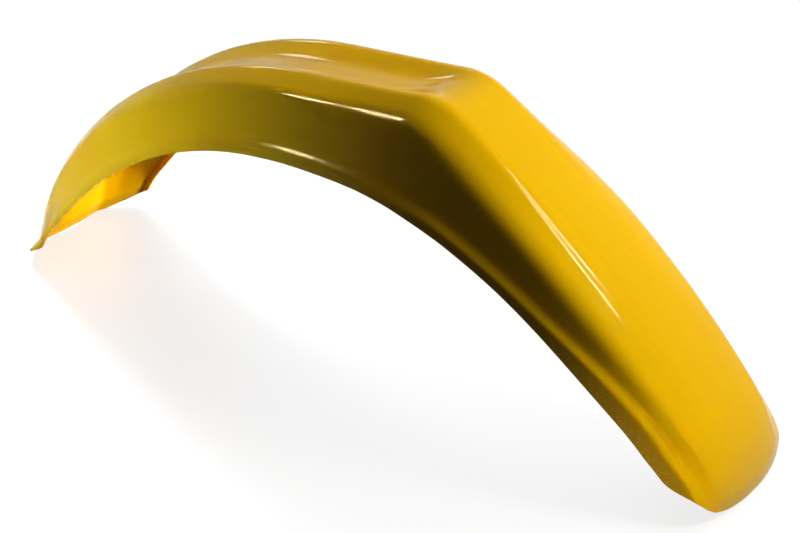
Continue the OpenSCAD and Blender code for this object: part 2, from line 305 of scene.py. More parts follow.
def rounded(s, depth):
    """Points of half a section from the middle out, on the outer face or in from it by a depth."""
    at, corners = polygon(s)
    flare = LIP_FLARE * fade(s / FLARE_LEN)
    outer, p = moved(corners, flare, 0), moved(corners, flare, depth)
    lengths = np.linalg.norm(np.diff(outer[:, :2], axis=0), axis=1)
    spans = np.linalg.norm(np.diff(p[:, :2], axis=0), axis=1)
    d = side_ways(p)
    wished = [0, FLOOR_ROUND, CREST_ROUND, at["shoulder_round"], FOOT_ROUND, RIM_ROUND]

    def arm(i, side):
        """How far a rounding reaches from its corner along a side, moved in with the face."""
        turn = (d[i - 1][1] * d[i][0] - d[i - 1][0] * d[i][1]) / (1 + d[i - 1] @ d[i])
        room = lengths[side] if i > SHOULDER_CORNER else min(lengths[i - 1], lengths[i])
        return max(SHARPEST, min(wished[i], CORNER_ROOM[i] * room) - depth * turn) / spans[side]

    points, start = [p[0]], p[0]
    for i in range(FLOOR_EDGE, SHOULDER_CORNER + 1):
        a = p[i] + (p[i - 1] - p[i]) * arm(i, i - 1)
        b = p[i] + (p[i + 1] - p[i]) * arm(i, i)
        points += even_steps(start, a, SPAN_PIECES[i - 1])
        for t in np.arange(1, ROUND_PIECES[i] + 1) / ROUND_PIECES[i]:
            points.append((1 - t) ** 2 * a + 2 * t * (1 - t) * p[i] + t * t * b)
        start = b
    foot, step = p[FOOT_CORNER], p[STEP_CORNER]
    a = foot + (p[SHOULDER_CORNER] - foot) * arm(FOOT_CORNER, SHOULDER_CORNER)
    b = step + (p[-1] - step) * arm(STEP_CORNER, STEP_CORNER)
    points += even_steps(start, a, SPAN_PIECES[3])
    for t in np.arange(1, OGEE_PIECES + 1) / OGEE_PIECES:
        bow = 3 * t * (1 - t) ** 2 * foot + 3 * t * t * (1 - t) * step
        points.append((1 - t) ** 3 * a + bow + t**3 * b)
    count = SPAN_PIECES[4]
    for k in range(1, count + 1):
        points.append(b + (p[-1] - b) * (1 - (1 - k / count) ** RIM_CROWDING))
    return np.array(points)


print("points across half a section:", len(rounded(LAND, 0)))

# %% [markdown]
# ## The straight channel
# The mesh is first made as if the mudguard had not been bent: X is the distance along the crown,
# Y the distance from the middle and Z the height over the crests. In this form its two ends are
# easy to shape: every line along it starts and stops at its own distance, which notches the
# rear lip, bulges the nose and rounds the corners of both. The nose is also tucked down at its
# very edge. All sizes are in mm.

# %% Ends of the channel
LIP_NOTCH = 3
LIP_BOW = 26
LIP_CORNER = 4
NOSE_BULGE = 14
NOSE_CORNER = 43
NOSE_TUCK = 1.5
TUCK_LEN = 14
CORNER_FROM = 0.7
BULGE_FROM = 0.45
NOSE_POWER = 3.4


def line_start(u):
    """Where the line at a share begins, at the lip."""
    notch = LIP_NOTCH * (1 - min(1, u / SHARES["crest"]) ** 2)
    bow = LIP_BOW * beyond(u, SHARES["crest"]) ** 2
    return notch + bow + LIP_CORNER * (1 - math.sqrt(1 - beyond(u, CORNER_FROM) ** 2))


def line_end(u):
    """Where the line at a share ends, at the nose."""
    corner = NOSE_CORNER * (1 - math.sqrt(1 - beyond(u, BULGE_FROM) ** NOSE_POWER))
    return CROWN_LEN - NOSE_BULGE * u * u - corner


def tuck(s, u):
    """How far the nose is tucked down near its edge."""
    return NOSE_TUCK * fade((CROWN_LEN - s) / TUCK_LEN) * fade(beyond(u, SHARES["shoulder"]))


print("the nose corners start", NOSE_CORNER, "mm back, and the lip is bowed by", LIP_BOW, "mm")

# %% [markdown]
# Sections stand closer together where the crown turns fast and at the two ends. Each run below
# goes from one station to the next with its own number of sections. The points of the outer face
# come first and those of the inner face follow in the same order, so a point and its partner
# through the wall are always the same number apart.

# %% Points of both faces
WALL = 3.0
RUNS = [
    (LIP, FLARE_LEN, 9), (FLARE_LEN, TAIL, 26), (TAIL, LAND, 66), (LAND, BEND_START, 26),
    (BEND_START, BEND_END, 18), (BEND_END, TOE, 60), (TOE, TIP - TUCK_LEN, 18),
    (TIP - TUCK_LEN, TIP, 10),
]
places = [a + (b - a) * k / count for a, b, count in RUNS for k in range(count)] + [TIP]

points, shares, alongs = [], [], []
for depth in (0, WALL):
    for s in places:
        for y, z, u in rounded(s, depth):
            t = s / CROWN_LEN
            x = line_start(u) * (1 - t) + line_end(u) * t
            points.append((x * MM, y * MM, (z - tuck(s, u)) * MM))
            shares.append(u)
            alongs.append(x * MM)
rows = len(places)
inner = len(points) // 2
across = inner // rows
print(rows, "sections along the crown, with", across, "points across each face")

# %% [markdown]
# Each face is a grid of quads, wound so that both skins look away from the plastic. A narrow
# strip closes the wall along the lip, the rim and the nose, where the real part is trimmed. Each
# quad keeps which skin it is on.

# %% Faces of the half channel
OUTSIDE, INSIDE, TRIMMED = 0, 1, 2


def index(row, col):
    """Number of a point of the outer face."""
    return row * across + col


faces, skins = [], []
for row in range(rows - 1):
    for col in range(across - 1):
        a, b = index(row, col), index(row, col + 1)
        c, d = index(row + 1, col + 1), index(row + 1, col)
        faces.append((a, d, c, b))
        faces.append((a + inner, b + inner, c + inner, d + inner))
        skins += [OUTSIDE, INSIDE]
border = [index(0, col) for col in range(across)]
border += [index(row, across - 1) for row in range(1, rows)]
border += [index(rows - 1, col) for col in range(across - 2, -1, -1)]
for a, b in zip(border, border[1:]):
    faces.append((a, b, b + inner, a + inner))
    skins.append(TRIMMED)
print("half channel:", len(points), "points,", len(faces), "faces")

# %% [markdown]
# The mesh carries what it knows as attributes, because they stay with the surface when it bends:
# the share, the distance along the crown, the skin, and which points lie on the trimmed border.
# The border's edges also get a bevel weight for the radius that comes later.

# %% The half channel as an object
def attribute(mesh, name, kind, domain, values, field="value"):
    """Stores one value for each point, edge or face."""
    mesh.attributes.new(name, kind, domain).data.foreach_set(field, values)


straight = bpy.data.meshes.new("straight_channel")
straight.from_pydata(points, [], faces)
trimmed = [0.0] * len(points)
for a in border:
    trimmed[a] = trimmed[a + inner] = 1.0
pairs = {frozenset((a + k, b + k)) for a, b in zip(border, border[1:]) for k in (0, inner)}
weights = [1.0 if frozenset(e.vertices) in pairs else 0.0 for e in straight.edges]
attribute(straight, "share", "FLOAT", "POINT", shares)
attribute(straight, "along", "FLOAT", "POINT", alongs)
attribute(straight, "edge", "FLOAT", "POINT", trimmed)
attribute(straight, "skin", "INT", "FACE", skins)
attribute(straight, "bevel_weight_edge", "FLOAT", "EDGE", weights)

channel = bpy.data.objects.new(NODE + "_shell", straight)
bpy.context.scene.collection.objects.link(channel)
print("edges to be bevelled:", int(sum(weights)))

# %% [markdown]
# The crown goes into the node tree as a line of short edges. Its points carry the calm line and
# the upward direction as attributes, so the tree can read all three at any distance.

# %% Crown line as an object
crown_mesh = bpy.data.meshes.new("crown_line")
crown_mesh.from_pydata(
    [(x * MM, 0, z * MM) for x, z in crown], [(i, i + 1) for i in range(len(spots) - 1)], []
)
for name, line, scale in (("calm", calm, MM), ("upward", upward, 1)):
    values = [c for x, z in line for c in (x * scale, 0, z * scale)]
    attribute(crown_mesh, name, "FLOAT_VECTOR", "POINT", values, "vector")
crown_line = bpy.data.objects.new("crown_line", crown_mesh)
bpy.context.scene.collection.objects.link(crown_line)
print("crown line:", len(crown_mesh.vertices), "points")

# %% [markdown]
# ## The plastic
# Both faces are one polypropylene, coloured right through. What differs is the steel it was
# moulded against, so the two materials share their colours and differ in gloss and grain. Light
# enters this plastic a few mm and comes out warmer, which keeps the shaded walls olive and brown
# rather than grey: that is the subsurface part, which reaches farthest in red. The index of
# refraction is the usual 1.49. The mirror part is weaker and yellower than that index gives,
# because a white room in full strength would bleach the yellow.

# %% Colours and shader of the plastic
YELLOW = linear("#F9C000")
YELLOW_DEEP = linear("#EFB200")
# Pale: the rubbed edge's wear, and painted glints on the grained rim.
YELLOW_WORN_AND_GLINT = linear("#FFD75A")
# Dark brown: painted shade on the grained rim and in the pits of the inner grain.
YELLOW_PAINTED_SHADE = linear("#7A4A00")
MIRROR_TINT = linear("#FFE08A")
MIRROR_LEVEL = 0.08
GLOW = 0.22
GLOW_RADIUS = (1.0, 0.45, 0.05)
GLOW_DEPTH = 6


def polypropylene(name):
    """An empty material with the shader of this plastic, an output, and Object coordinates."""
    material = bpy.data.materials.new(name)
    material.use_nodes = True
    tree = material.node_tree
    tree.nodes.clear()
    shader = add(
        tree, "ShaderNodeBsdfPrincipled", IOR=1.49, Specular_IOR_Level=MIRROR_LEVEL,
        Specular_Tint=MIRROR_TINT, Subsurface_Weight=GLOW, Subsurface_Radius=GLOW_RADIUS,
        Subsurface_Scale=GLOW_DEPTH * MM,
    )
    add(tree, "ShaderNodeOutputMaterial", Surface=shader)
    return material, tree, shader, add(tree, "ShaderNodeTexCoord").outputs["Object"]


def per_patch(size):
    """Scale of a noise whose patches are about this wide, in mm."""
    return 1 / (size * MM)


USUAL_NOISE = {"From_Min": 0.3, "From_Max": 0.7}  # nearly all of a noise lies between these


print("the yellow is linear", [round(c, 3) for c in YELLOW[:3]])

# %% [markdown]
# The trimmed edge of a mudguard is knocked and rubbed, and bare polypropylene turns pale where
# it is. Both materials use this mask: the mesh's own "edge" attribute, broken up by a noise of
# 9 mm, so that the rub comes and goes along the edge.

# %% Rubbed edge
RUB_PATCH = 9
RUB_FROM, RUB_FULL = 0.35, 0.65
RUB_STRENGTH = 0.6


def rubbed_edge(tree, place, edge):
    """1 where the trimmed edge is rubbed, 0 elsewhere."""
    near = add(tree, "ShaderNodeMapRange", Value=edge, From_Min=0.5, From_Max=1.0)
    noise = add(
        tree, "ShaderNodeTexNoise", Vector=place, Scale=per_patch(RUB_PATCH), Detail=3.0,
        Roughness=0.5,
    )
    worn = add(tree, "ShaderNodeMapRange", Value=noise, From_Min=RUB_FROM, From_Max=RUB_FULL)
    return add(tree, "ShaderNodeMath", TIMES, i0=near, i1=worn)


print("rub patches of", RUB_PATCH, "mm on the edge, at a strength of", RUB_STRENGTH)

# %% [markdown]
# ## The polished face
# The plastic enters the mould at one place and flows along it, and the pigment shows that as
# faint long streaks. A noise on the mesh's own distances along and across, with few waves, draws
# them, and a second noise of 90 mm adds soft patches. Near the toe the rim was moulded against
# bare, unpolished steel: it is grained, and there its colour gets painted shade, a little darker,
# and pale flecks as painted glints. Real grain of this kind is about 0.5 mm, and it is drawn at
# 1.1 mm, because anything finer is lost in the render.

# %% Gloss polypropylene: colour
FLOW_ALONG, FLOW_ACROSS = 5.0, 9.0
FLOW_PATCH = 90
FLOW_DEPTH = 0.3
RIM_GRAIN = 1.1
# How much painted shade darkens the grained rim near the toe.
RIM_SHADE = 0.15
RIM_FROM, RIM_FULL = 0.93, 0.97  # as a share of the way out
GRAIN_FROM, GRAIN_FULL = 0.80, 0.90  # in m along the crown
# Where the grain's noise turns into pale flecks, painted as glints.
GLINT_FROM, GLINT_FULL = 0.52, 0.60

gloss, tree, shader, place = polypropylene("polypropylene_gloss_moulded")
share, along, edge = (
    add(tree, "ShaderNodeAttribute", {"attribute_name": name}).outputs["Fac"]
    for name in ("share", "along", "edge")
)
flow_place = add(
    tree, "ShaderNodeCombineXYZ",
    X=add(tree, "ShaderNodeMath", TIMES, i0=along, i1=FLOW_ALONG),
    Y=add(tree, "ShaderNodeMath", TIMES, i0=share, i1=FLOW_ACROSS),
)
flow = add(tree, "ShaderNodeTexNoise", Vector=flow_place, Scale=1.0, Detail=2.0)
flow = add(tree, "ShaderNodeMapRange", Value=flow, **USUAL_NOISE)
patches = add(
    tree, "ShaderNodeTexNoise", Vector=place, Scale=per_patch(FLOW_PATCH), Detail=3.0, Roughness=0.5
)
depth = add(tree, "ShaderNodeMath", PLUS, i0=patches, i1=flow)
depth = add(tree, "ShaderNodeMath", TIMES, i0=depth, i1=FLOW_DEPTH)

# The grained rim near the toe: real grain and dullness, and painted shade and glints in its colour.
rim_grain_and_painted_light = add(
    tree, "ShaderNodeMath", TIMES,
    i0=add(tree, "ShaderNodeMapRange", Value=share, From_Min=RIM_FROM, From_Max=RIM_FULL),
    i1=add(tree, "ShaderNodeMapRange", Value=along, From_Min=GRAIN_FROM, From_Max=GRAIN_FULL),
)
grain = add(
    tree, "ShaderNodeTexNoise", Vector=place, Scale=per_patch(RIM_GRAIN), Detail=2.0, Roughness=0.6
)
# Pale flecks where the grain's noise is high: painted glints.
painted_glints = add(tree, "ShaderNodeMapRange", Value=grain, From_Min=GLINT_FROM, From_Max=GLINT_FULL)
rubbed = rubbed_edge(tree, place, edge)

colour = add(tree, "ShaderNodeMix", COLOURS, i0=depth, i6=YELLOW, i7=YELLOW_DEEP).outputs[2]
# Painted shade darkens the grained rim, painted glints fleck it pale, and the rubbed edge is pale
# with wear.
for strength, paint in (
    (add(tree, "ShaderNodeMath", TIMES, i0=rim_grain_and_painted_light, i1=RIM_SHADE), YELLOW_PAINTED_SHADE),
    (add(tree, "ShaderNodeMath", TIMES, i0=rim_grain_and_painted_light, i1=painted_glints), YELLOW_WORN_AND_GLINT),
    (add(tree, "ShaderNodeMath", TIMES, i0=rubbed, i1=RUB_STRENGTH), YELLOW_WORN_AND_GLINT),
):
    colour = add(tree, "ShaderNodeMix", COLOURS, i0=strength, i6=colour, i7=paint).outputs[2]
tree.links.new(colour, shader.inputs["Base Color"])
print(gloss.name, "has a rim grain of", RIM_GRAIN, "mm from", GRAIN_FROM, "m along the crown")

# %% [markdown]
# A polished mould gives a roughness near 0.05. Handling dulls it in patches, and the grained rim
# and the rubbed edge are much duller. The face isn't quite flat either: as the plastic shrinks
# it leaves very low waves, here 0.05 mm high and 14 mm wide, which make the reflections waver.

# %% Gloss polypropylene: gloss and waves
HANDLED_PATCH = 20
GLOSS_BEST, GLOSS_WORN = 0.05, 0.12
DULLED = 0.35
PEEL_PATCH, PEEL_HEIGHT, PEEL_STRENGTH = 14, 0.05, 0.35
GRAIN_HEIGHT = 0.5

handled = add(
    tree, "ShaderNodeTexNoise", Vector=place, Scale=per_patch(HANDLED_PATCH), Detail=4.0,
    Roughness=0.6,
)
handled = add(
    tree, "ShaderNodeMapRange", Value=handled, **USUAL_NOISE, To_Min=GLOSS_BEST, To_Max=GLOSS_WORN
)
dulled = add(tree, "ShaderNodeMath", LARGER, i0=rim_grain_and_painted_light, i1=rubbed)
dulled = add(tree, "ShaderNodeMath", TIMES, i0=dulled, i1=DULLED)
roughness = add(tree, "ShaderNodeMath", PLUS, i0=handled, i1=dulled)
tree.links.new(roughness.outputs[0], shader.inputs["Roughness"])

waves = add(
    tree, "ShaderNodeTexNoise", Vector=place, Scale=per_patch(PEEL_PATCH), Detail=1.0, Roughness=0.5
)
peel = add(
    tree, "ShaderNodeBump", Strength=PEEL_STRENGTH, Distance=PEEL_HEIGHT * MM, Height=waves
)
bump = add(
    tree, "ShaderNodeBump", Strength=rim_grain_and_painted_light, Distance=GRAIN_HEIGHT * MM, Height=grain,
    Normal=peel,
)
tree.links.new(bump.outputs[0], shader.inputs["Normal"])
print("roughness from", GLOSS_BEST, "to", GLOSS_WORN, "on the polished face")

# %% [markdown]
# ## The grained face
# The inner mould half is etched, so the inside is dull with a fine leathery grain, and the pits
# of the grain are painted darker as shade. The real grain is near 1 mm and is drawn at 1.6 mm, so
# that it shows in the small part of the inside that is in view. The painted shade in the pits
# comes in patches of 40 mm.

# %% Grained polypropylene
INNER_GRAIN = 1.6
PIT_FROM, PIT_FULL = 0.46, 0.36  # of the grain's noise, whose low values are the pits
# Painted shade in the grain's pits: the size of its patches in mm, and its strength.
PIT_SHADE_PATCH, PIT_SHADE_STRENGTH = 40, 0.6
PIT_SHADE_FROM, PIT_SHADE_FULL = 0.4, 0.6
TONE_PATCH, DULL_PATCH = 50, 12
DULL_LOW, DULL_HIGH = 0.48, 0.62
INNER_STRENGTH = 0.6

grained, tree, shader, place = polypropylene("polypropylene_grained_moulded")
edge = add(tree, "ShaderNodeAttribute", {"attribute_name": "edge"}).outputs["Fac"]
grain = add(
    tree, "ShaderNodeTexNoise", Vector=place, Scale=per_patch(INNER_GRAIN), Detail=2.0,
    Roughness=0.6,
)
tone, pit_shade_patches, dull = (
    add(tree, "ShaderNodeTexNoise", Vector=place, Scale=per_patch(size), Detail=3.0, Roughness=0.5)
    for size in (TONE_PATCH, PIT_SHADE_PATCH, DULL_PATCH)
)
# Painted shade: the grain's pits are darkened, in patches.
pits = add(
    tree, "ShaderNodeMath", TIMES,
    i0=add(tree, "ShaderNodeMapRange", Value=grain, From_Min=PIT_FROM, From_Max=PIT_FULL),
    i1=add(tree, "ShaderNodeMapRange", Value=pit_shade_patches, From_Min=PIT_SHADE_FROM, From_Max=PIT_SHADE_FULL),
)
rubbed = rubbed_edge(tree, place, edge)
colour = add(tree, "ShaderNodeMix", COLOURS, i0=tone, i6=YELLOW, i7=YELLOW_DEEP).outputs[2]
# The pits get painted shade; the rubbed edge is pale with wear.
for strength, paint in (
    (add(tree, "ShaderNodeMath", TIMES, i0=pits, i1=PIT_SHADE_STRENGTH), YELLOW_PAINTED_SHADE),
    (add(tree, "ShaderNodeMath", TIMES, i0=rubbed, i1=RUB_STRENGTH), YELLOW_WORN_AND_GLINT),
):
    colour = add(tree, "ShaderNodeMix", COLOURS, i0=strength, i6=colour, i7=paint).outputs[2]
tree.links.new(colour, shader.inputs["Base Color"])

dull = add(
    tree, "ShaderNodeMapRange", Value=dull, **USUAL_NOISE, To_Min=DULL_LOW, To_Max=DULL_HIGH
)
tree.links.new(dull.outputs[0], shader.inputs["Roughness"])
bump = add(
    tree, "ShaderNodeBump", Strength=INNER_STRENGTH, Distance=GRAIN_HEIGHT * MM, Height=grain
)
tree.links.new(bump.outputs[0], shader.inputs["Normal"])
print(grained.name, "has a grain of", INNER_GRAIN, "mm")

# %% [markdown]
# ## Bending the channel
# Geometry Nodes do the bend, because it is one rule for every point. A Curve modifier would bend
# the walls round the crown alone, and they would fold inside the bend. The tree gets a named
# input for each object, size and material that it works with.

# %% Inputs of the node tree
bend_tree = bpy.data.node_groups.new("Bend over the wheel", "GeometryNodeTree")
for name, kind in (
    ("Geometry", "Geometry"), ("Crown", "Object"), ("Shoulder share", "Float"),
    ("Foot share", "Float"), ("Stand", "Rotation"), ("Origin", "Vector"), ("Merge", "Float"),
    ("Ripple", "Float"), ("Ripple scale", "Float"), ("Ripple seed", "Float"),
    ("Outside", "Material"), ("Inside", "Material"), ("Inner skin", "Int"),
):
    bend_tree.interface.new_socket(name, in_out="INPUT", socket_type="NodeSocket" + kind)
bend_tree.interface.new_socket("Geometry", in_out="OUTPUT", socket_type="NodeSocketGeometry")
given = add(bend_tree, "NodeGroupInput").outputs
print("inputs of the tree:", [socket.name for socket in given if socket.name])

# %% [markdown]
# A point's X says how far along the crown it belongs. There the tree samples the crown, the calm
# line and the upward direction. From the shoulder to the foot of the wall it passes from the
# crown to the calm line, then it adds the point's Z in the upward direction and keeps its Y.

# %% Each point over the crown
line = add(bend_tree, "GeometryNodeObjectInfo", Object=given["Crown"])
curve = add(bend_tree, "GeometryNodeMeshToCurve", Mesh=line.outputs["Geometry"])
position = add(bend_tree, "GeometryNodeInputPosition")
place = add(bend_tree, "ShaderNodeSeparateXYZ", Vector=position).outputs


def read_on_crown(name):
    """Outputs of the crown at a point's X: its position, and an attribute as the value."""
    vectors = {"data_type": "FLOAT_VECTOR"}
    value = add(bend_tree, "GeometryNodeInputNamedAttribute", vectors, Name=name)
    return add(
        bend_tree, "GeometryNodeSampleCurve", {"mode": "LENGTH", **vectors}, Curves=curve,
        Value=value, Length=place["X"],
    ).outputs


share = add(bend_tree, "GeometryNodeInputNamedAttribute", {"data_type": "FLOAT"}, Name="share")
ease = add(
    bend_tree, "ShaderNodeMapRange", Value=share, From_Min=given["Shoulder share"],
    From_Max=given["Foot share"],
)
on_calm = read_on_crown("calm")
line_point = add(
    bend_tree, "ShaderNodeMix", {"data_type": "VECTOR"}, i0=ease, i4=on_calm["Position"],
    i5=on_calm["Value"],
).outputs[1]
rise = add(
    bend_tree, "ShaderNodeVectorMath", {"operation": "SCALE"}, i0=read_on_crown("upward")["Value"],
    Scale=place["Z"],
)
aside = add(bend_tree, "ShaderNodeCombineXYZ", Y=place["Y"])
total = add(bend_tree, "ShaderNodeVectorMath", PLUS, i0=line_point, i1=rise)
total = add(bend_tree, "ShaderNodeVectorMath", PLUS, i0=total, i1=aside)
bent = add(bend_tree, "GeometryNodeSetPosition", Geometry=given["Geometry"], Position=total)
print("nodes so far:", len(bend_tree.nodes))

# %% [markdown]
# The other half is the mirror image. A mirror turns the faces inside out, so they are flipped
# back, and the points on the middle line are merged. Then the whole is turned until lip and nose
# both touch the floor, and set down at its place in the frame.

# %% Mirror the half and stand it up
mirrored = add(bend_tree, "GeometryNodeTransform", Geometry=bent, Scale=(1, -1, 1))
mirrored = add(bend_tree, "GeometryNodeFlipFaces", Mesh=mirrored)
both = add(bend_tree, "GeometryNodeJoinGeometry", Geometry=mirrored)
bend_tree.links.new(bent.outputs[0], both.inputs[0])
whole = add(bend_tree, "GeometryNodeMergeByDistance", Geometry=both, Distance=given["Merge"])
stood = add(
    bend_tree, "GeometryNodeTransform", Geometry=whole, Rotation=given["Stand"],
    Translation=given["Origin"],
)
print("nodes so far:", len(bend_tree.nodes))

# %% [markdown]
# A thin moulding is never quite true, and a reflection shows it at once. A noise with a fixed
# seed moves each point along its normal by less than a tenth of a millimetre. Then the shell is
# shaded smooth and each skin gets its material: the trimmed edge takes that of the outside.

# %% Ripple, shading and materials
waves = add(
    bend_tree, "ShaderNodeTexNoise", {"noise_dimensions": "4D"}, W=given["Ripple seed"],
    Scale=given["Ripple scale"], Detail=1.0,
)
height = add(bend_tree, "ShaderNodeMath", MINUS, i0=waves, i1=0.5)
height = add(bend_tree, "ShaderNodeMath", TIMES, i0=height, i1=given["Ripple"])
offset = add(
    bend_tree, "ShaderNodeVectorMath", {"operation": "SCALE"},
    i0=add(bend_tree, "GeometryNodeInputNormal"), Scale=height,
)
rippled = add(bend_tree, "GeometryNodeSetPosition", Geometry=stood, Offset=offset)
smooth = add(bend_tree, "GeometryNodeSetShadeSmooth", Geometry=rippled)
realized = add(bend_tree, "GeometryNodeRealizeInstances", Geometry=smooth)
skin = add(bend_tree, "GeometryNodeInputNamedAttribute", {"data_type": "INT"}, Name="skin")
is_inside = add(
    bend_tree, "FunctionNodeCompare", {"data_type": "INT", "operation": "EQUAL"}, i2=skin,
    i3=given["Inner skin"],
)
coated = add(
    bend_tree, "GeometryNodeSetMaterial", Geometry=realized, Material=given["Outside"]
)
coated = add(
    bend_tree, "GeometryNodeSetMaterial", Geometry=coated, Selection=is_inside,
    Material=given["Inside"],
)
add(bend_tree, "NodeGroupOutput", Geometry=coated)
print("nodes in the tree:", len(bend_tree.nodes))

# %% [markdown]
# ## How the mudguard stands
# The stand is the turn that brings lip and nose to the same height. It is found from the bent
# points themselves: turn them, see how far apart the lowest points of the two ends are, and turn
# again. A few rounds are enough.

# %% Turn that sets lip and nose on the floor
STAND_ROUNDS = 5


def turned(points, angle):
    """Points of the side view, turned by an angle."""
    c, s = math.cos(angle), math.sin(angle)
    return points @ np.array([[c, s], [-s, c]])


forward_mm, height_mm = np.array(points)[:, 0] / MM, np.array(points)[:, 2] / MM
ease = (np.array(shares) - SHARES["shoulder"]) / (SHARES["foot"] - SHARES["shoulder"])
ease = np.clip(ease, 0, 1)[:, None]
seen = at_spot(crown, forward_mm) * (1 - ease) + at_spot(calm, forward_mm) * ease
seen += at_spot(upward, forward_mm) * height_mm[:, None]

stand = 0.0
for attempt in range(STAND_ROUNDS):
    view = turned(seen, stand)
    front = view[:, 0] > view[:, 0].mean()
    rear_low, front_low = (view[side][view[side][:, 1].argmin()] for side in (~front, front))
    stand -= math.atan2(front_low[1] - rear_low[1], front_low[0] - rear_low[0])
view = turned(seen, stand)
origin = Vector((-(view[:, 0].min() + view[:, 0].max()) / 2, 0, -view[:, 1].min())) * MM
length = round(float(np.ptp(view[:, 0])), 1)
print("stand turn", round(math.degrees(stand), 2), "degrees; length", length, "mm")

# %% [markdown]
# ## Bend and bevel
# The tree goes on the channel as a modifier, with its inputs set by their identifiers. A bevel
# after it gives the trimmed edge its radius of 0.9 mm, so that it catches a line of light as a
# real edge does. It acts on the weighted edges only.

# %% Modifiers with their sizes
EDGE_RADIUS, EDGE_SEGMENTS = 0.9, 3
RIPPLE, RIPPLE_PATCH, RIPPLE_SEED = 0.08, 60, 7.0
MERGE_WITHIN = 0.02

values = {
    "Crown": crown_line, "Shoulder share": SHARES["shoulder"], "Foot share": SHARES["foot"],
    "Stand": Euler((0, -stand, 0)), "Origin": origin, "Merge": MERGE_WITHIN * MM,
    "Ripple": RIPPLE * MM, "Ripple scale": per_patch(RIPPLE_PATCH), "Ripple seed": RIPPLE_SEED,
    "Outside": gloss, "Inside": grained, "Inner skin": INSIDE,
}
modifier = channel.modifiers.new("bend", "NODES")
modifier.node_group = bend_tree
for item in bend_tree.interface.items_tree:
    if item.in_out == "INPUT" and item.name in values:
        modifier[item.identifier] = values[item.name]
bevel = channel.modifiers.new("edge radius", "BEVEL")
bevel.limit_method = "WEIGHT"
bevel.width = EDGE_RADIUS * MM
bevel.segments = EDGE_SEGMENTS
print("modifiers on the channel:", [m.name for m in channel.modifiers])

# %% [markdown]
# The evaluated result becomes a plain mesh and the modifiers go, because the frame and the
# export expect a finished piece. A look at its edges shows that the shell is closed, and its
# volume, which should be about that of the solid, shows that its faces point outwards.

# %% Turn into a plain mesh and check it
evaluated = channel.evaluated_get(bpy.context.evaluated_depsgraph_get())
plain = bpy.data.meshes.new_from_object(evaluated)
channel.modifiers.clear()
channel.data = plain
plain.name = NODE + "_shell"
bpy.data.objects.remove(crown_line)

check = bmesh.new()
check.from_mesh(plain)
open_edges = sum(1 for e in check.edges if len(e.link_faces) != 2)
volume = check.calc_volume(signed=True) / MM**3 / 1000
triangles = sum(len(p.vertices) - 2 for p in plain.polygons)
check.free()
print("shell:", triangles, "triangles,", open_edges, "open edges, volume", round(volume, 1), "cm3")

# %% [markdown]
# ## Place in the frame
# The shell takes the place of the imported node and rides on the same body. The mudguard has no
# joints, so this is the only body there is.

# %% Ride and replace
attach(channel, "root")
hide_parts(NODE)
low = [min(v.co[i] for v in plain.vertices) for i in range(3)]
high = [max(v.co[i] for v in plain.vertices) for i in range(3)]
print("shell box in mm:", [round(v / MM, 1) for v in (*low, *high)])

# %% [markdown]
# ## Floor and surroundings
# The mudguard stands on a white table in a white room, as small parts do when they are shown for
# sale. More light would make the table white but bleach the yellow as well. So table and room
# are white only for rays that look at them, straight, in a gloss or through glass, and dark for
# rays that carry light to the object.

# %% White only where it is seen
WHITE = linear("#FFFFFF")


def seen_ray(tree):
    """1 for rays that look at a thing, straight, in a gloss or through glass; 0 for the others."""
    path = add(tree, "ShaderNodeLightPath").outputs
    seen = add(tree, "ShaderNodeMath", LARGER, i0=path["Is Camera Ray"], i1=path["Is Glossy Ray"])
    return add(tree, "ShaderNodeMath", LARGER, i0=seen, i1=path["Is Transmission Ray"])


print("white is", WHITE[:3])

# %% [markdown]
# The table is polished acrylic. Its seen side adds a glow of nearly 1 to a matt part that takes
# the shadow, and mixes in a quarter of soft gloss, which brings the faint yellow under the lip.
# Its matt part is dark, so that little light comes back up to the object.

# %% Table
FLOOR_SIZE = 6.0
FLOOR_MATT = "#2C2C2C"
FLOOR_GLOW = 0.98
FLOOR_GLOSS = 0.24
FLOOR_ROUGHNESS = 0.5

acrylic = bpy.data.materials.new("acrylic_white_polished")
acrylic.use_nodes = True
tree = acrylic.node_tree
tree.nodes.clear()
matt = add(tree, "ShaderNodeBsdfDiffuse", Color=linear(FLOOR_MATT))
glow = add(tree, "ShaderNodeEmission", Color=WHITE, Strength=FLOOR_GLOW)
white = add(tree, "ShaderNodeAddShader", i0=matt, i1=glow)
mirror = add(tree, "ShaderNodeBsdfGlossy", Color=WHITE, Roughness=FLOOR_ROUGHNESS)
shown = add(tree, "ShaderNodeMixShader", i0=FLOOR_GLOSS, i1=white, i2=mirror)
mixed = add(tree, "ShaderNodeMixShader", i0=seen_ray(tree), i1=matt, i2=shown)
add(tree, "ShaderNodeOutputMaterial", Surface=mixed)

half = FLOOR_SIZE / 2
corners = [(-half, -half, 0), (half, -half, 0), (half, half, 0), (-half, half, 0)]
floor_mesh = bpy.data.meshes.new("floor")
floor_mesh.from_pydata(corners, [], [(0, 1, 2, 3)])
floor_mesh.materials.append(acrylic)
floor = bpy.data.objects.new("floor", floor_mesh)
bpy.context.scene.collection.objects.link(floor)
floor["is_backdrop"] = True
print("table", FLOOR_SIZE, "m wide, in", acrylic.name)

# %% [markdown]
# The room is white at a strength of 1 for rays that look at it. For the rest it gives a very weak
# light, just enough to keep the darkest walls from turning black.

# %% Room
ROOM_LIGHT = 0.012

